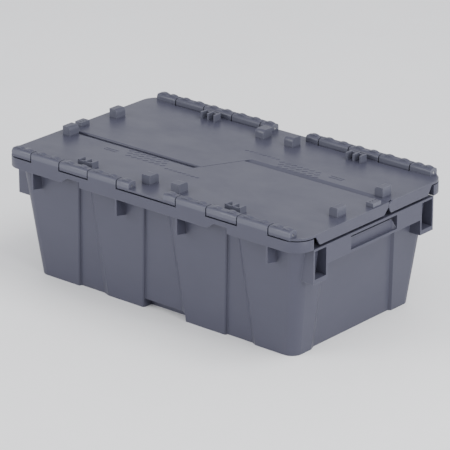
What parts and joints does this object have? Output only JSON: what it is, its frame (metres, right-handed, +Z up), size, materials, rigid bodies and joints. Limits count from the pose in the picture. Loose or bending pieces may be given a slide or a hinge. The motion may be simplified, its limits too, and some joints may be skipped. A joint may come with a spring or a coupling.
{
  "type": "attached lid tote",
  "caption": "Stackable moulded storage tote with ribbed tapering walls and an attached two-part lid whose halves swing up on steel hinge rods along the long rims.",
  "frame": {"origin": "centre of the footprint at the underside of the floor", "axes": "+X along the length, +Y across the width towards the back hinge line, +Z up"},
  "size_m": [0.5, 0.3, 0.1848],
  "materials": {
    "moulded_plastic": "fine moulded texture with a soft sheen",
    "rod_steel": "drawn wire"
  },
  "bodies": {
    "tote": {"tote_body": "moulded_plastic", "hinge_rod_front_left": "rod_steel", "hinge_rod_front_right": "rod_steel", "hinge_rod_back_left": "rod_steel", "hinge_rod_back_right": "rod_steel"},
    "front_lid": {"lid_front": "moulded_plastic"},
    "back_lid": {"lid_back": "moulded_plastic"}
  },
  "joints": [
    {"name": "front_lid_hinge", "type": "hinge", "parent": "tote", "child": "front_lid", "pos_m": [0, -0.1427, 0.175], "axis": [1, 0, 0], "range_deg": [0, 200]},
    {"name": "back_lid_hinge", "type": "hinge", "parent": "tote", "child": "back_lid", "pos_m": [0, 0.1427, 0.175], "axis": [-1, 0, 0], "range_deg": [0, 200]}
  ],
  "couplings": [
    {"joint": "back_lid_hinge", "follows": "front_lid_hinge", "ratio": 1}
  ]
}
